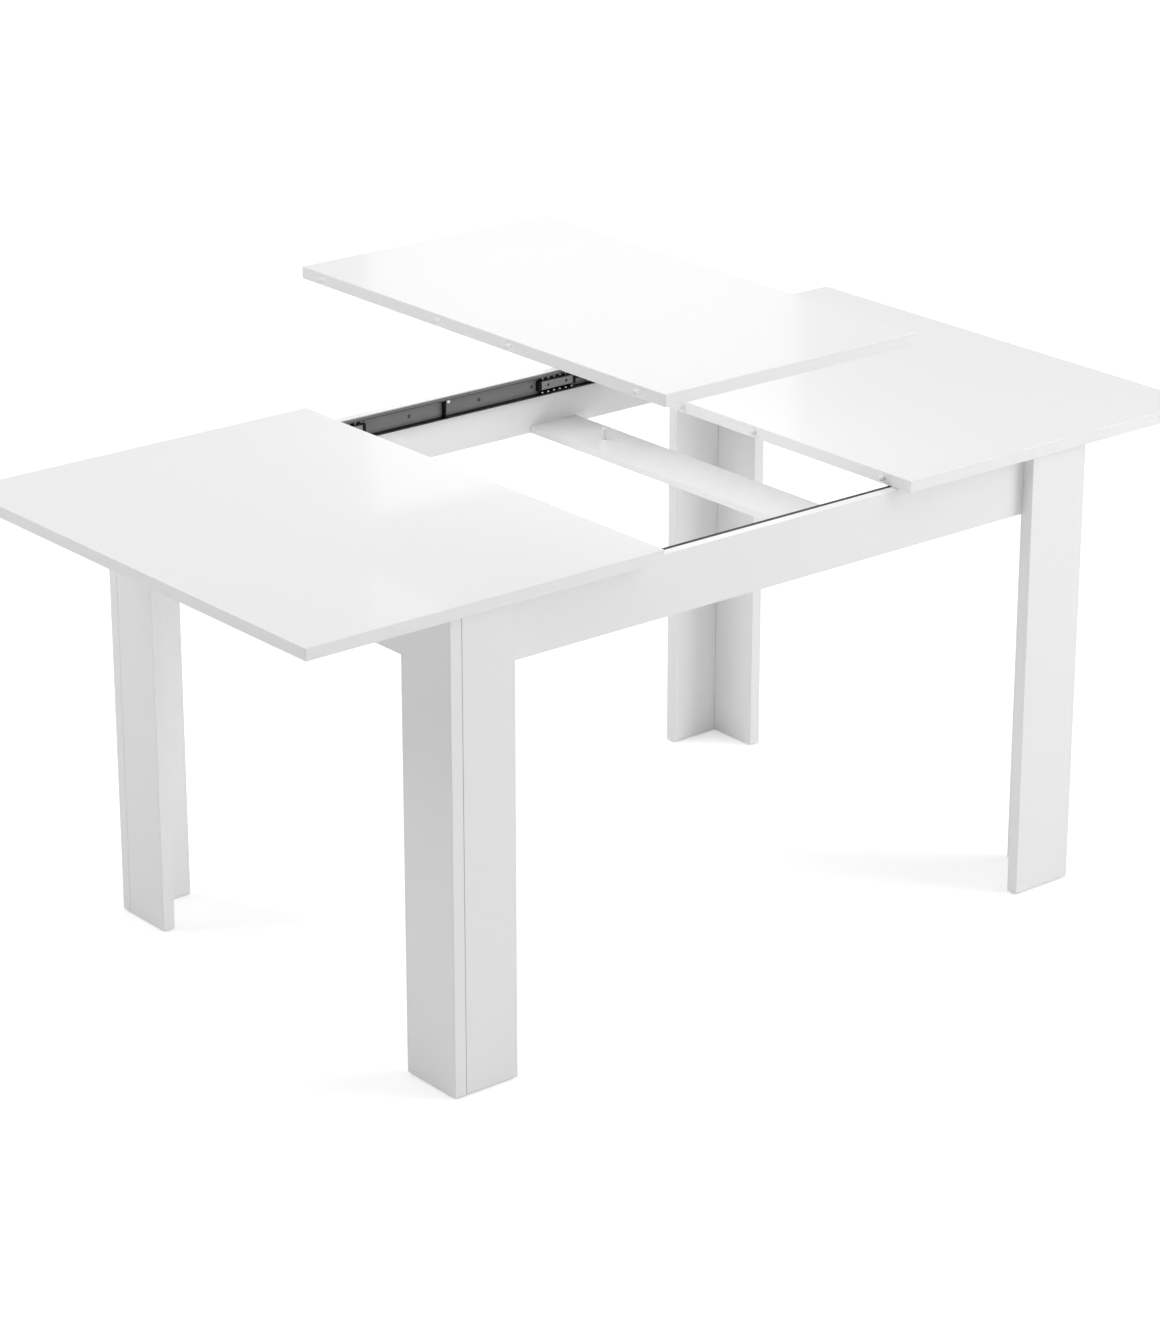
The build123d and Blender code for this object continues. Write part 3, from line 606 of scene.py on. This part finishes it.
# ---------------------------------------------------------------------------------------
# Inner rails and top brackets. Plain channels between the rows of balls, and zinc-plated
# angles from them up to the half tops, out of sight under the boards.
# ---------------------------------------------------------------------------------------
inner_rail_steel = make_rail_steel("inner_rail_steel", rail_web)
for end in ends:
    for side in sides:
        finish_node(f"{side}_{end}_inner_rail", inner_rail_steel)
    finish_node(f"{end}_top_brackets", zinc)
    finish_node(f"{end}_bracket_screws", zinc)
    finish_node(f"{end}_bracket_bolts", zinc)


# ---------------------------------------------------------------------------------------
# Half tops. White melamine boards that ride on the inner rails; plastic pins in the right
# one's inner edge fit holes in the left one's when the table is shut.
# ---------------------------------------------------------------------------------------
for end in ends:
    finish_board(f"{end}_top_board")
finish_node("right_top_pins", white_plastic)


# ---------------------------------------------------------------------------------------
# Loose leaf. The same board and the same pins, held above the gap that it fills.
# ---------------------------------------------------------------------------------------
finish_board("leaf_board")
finish_node("leaf_pins", white_plastic)


# ---------------------------------------------------------------------------------------
# Floor, light and camera. A plain pale studio floor, a soft even room, and large soft
# lights above, in front and behind, so that the end faces are the darkest. Two small
# lights brighten the inside of the frame, and the leaf throws no shadow into it.
# ---------------------------------------------------------------------------------------
floor_size = 80.0
floor_white = (0.90, 0.90, 0.90, 1)
floor_roughness = 0.9
glow_near, glow_gained_far = 0.35, 0.7
glow_start, glow_end = 1.5, 8.0
room_light_level, room_level_gained_in_view = 0.4, 0.6
low_aim = (0, 0, 0.5)
table_aim = (0, 0, 0.9)
bpy.ops.object.select_all(action="DESELECT")
bpy.ops.mesh.primitive_plane_add(size=floor_size, location=(0, 0, 0))
floor = bpy.context.object
floor.name = "floor"
floor_paint = bpy.data.materials.new("floor_paint")
floor_paint.use_nodes = True
floor_tree = floor_paint.node_tree
floor_shader = next(n for n in floor_tree.nodes if n.type == "BSDF_PRINCIPLED")
floor_shader.inputs["Base Color"].default_value = floor_white
floor_shader.inputs["Roughness"].default_value = floor_roughness
floor_shader.inputs["Specular IOR Level"].default_value = 0.0
floor_shader.inputs["Emission Color"].default_value = (1, 1, 1, 1)
floor_place = floor_tree.nodes.new("ShaderNodeTexCoord").outputs["Object"]
away = vector_node(floor_tree, "LENGTH", floor_place).outputs["Value"]
haze = ramp(floor_tree, away, glow_start, glow_end)
gained = math_node(floor_tree, "MULTIPLY", haze, glow_gained_far)
brightness = math_node(floor_tree, "ADD", gained, glow_near)
seen = floor_tree.nodes.new("ShaderNodeLightPath").outputs["Is Camera Ray"]
glow = math_node(floor_tree, "MULTIPLY", seen, brightness)
floor_tree.links.new(glow, floor_shader.inputs["Emission Strength"])
floor.data.materials.append(floor_paint)

world = bpy.data.worlds.new("studio")
world.use_nodes = True
bpy.context.scene.world = world
room = next(n for n in world.node_tree.nodes if n.type == "BACKGROUND")
room.inputs["Color"].default_value = (1, 1, 1, 1)
room_tree = world.node_tree
in_view = room_tree.nodes.new("ShaderNodeLightPath").outputs["Is Camera Ray"]
gained = math_node(room_tree, "MULTIPLY", in_view, room_level_gained_in_view)
room_light = math_node(room_tree, "ADD", gained, room_light_level)
room_tree.links.new(room_light, room.inputs["Strength"])


def soft_light(name, place, aim, size, power, mirrored=True):
    """Square area light, turned from its place to its aim; some aren't seen in the gloss."""
    bpy.ops.object.light_add(type="AREA", location=place)
    light = bpy.context.object
    light.name = name
    light.data.shape = "SQUARE"
    light.data.size = size
    light.data.energy = power
    away = light.location - type(light.location)(aim)
    light.rotation_euler = away.to_track_quat("Z", "Y").to_euler()
    light.visible_camera = False
    light.visible_glossy = mirrored
    return light


soft_light("overhead_light", (0, 0, 5.0), low_aim, size=4.0, power=58.0)
soft_light("back_left_light", (-3.0, 3.0, 4.0), low_aim, size=3.0, power=90.0)
soft_light("front_right_light", (3.0, -2.5, 4.0), low_aim, size=3.0, power=62.0)
soft_light("side_light", (4.5, -5.0, 2.0), low_aim, size=3.0, power=124.0, mirrored=False)
soft_light("back_panel", (4.25, 5.21, 2.83), table_aim, size=1.4, power=3.6)
soft_light("back_sweep", (4.9, 6.0, 3.2), table_aim, size=6.0, power=34.0)
soft_light(
    "inner_fill", (-0.35, -0.35, 0.3), (0.35, 0.44, 0.5), size=0.2, power=0.95, mirrored=False
)
gap_light = soft_light(
    "gap_light", (0.2, 0, 0.755), (0.2, 0, 0), size=0.2, power=0.07, mirrored=False
)
gap_light.data.shape = "RECTANGLE"
gap_light.data.size_y = 0.7
for name in ("leaf_board", "leaf_pins"):
    cad_nodes[name].visible_shadow = False

camera_place = (-3.980, -4.799, 2.792)
camera_dip, camera_turn = math.radians(20.94), math.radians(39.38)
level = math.radians(90)
camera_data = bpy.data.cameras.new("camera")
camera = bpy.data.objects.new("camera", camera_data)
bpy.context.scene.collection.objects.link(camera)
camera_data.sensor_width = 36.0
camera_data.lens = 111.86
camera.location = camera_place
camera.rotation_euler = (level - camera_dip, 0, -camera_turn)
camera_data.clip_start = 0.1
camera_data.clip_end = 200.0
bpy.context.scene.camera = camera
bpy.context.scene.view_settings.view_transform = "Standard"
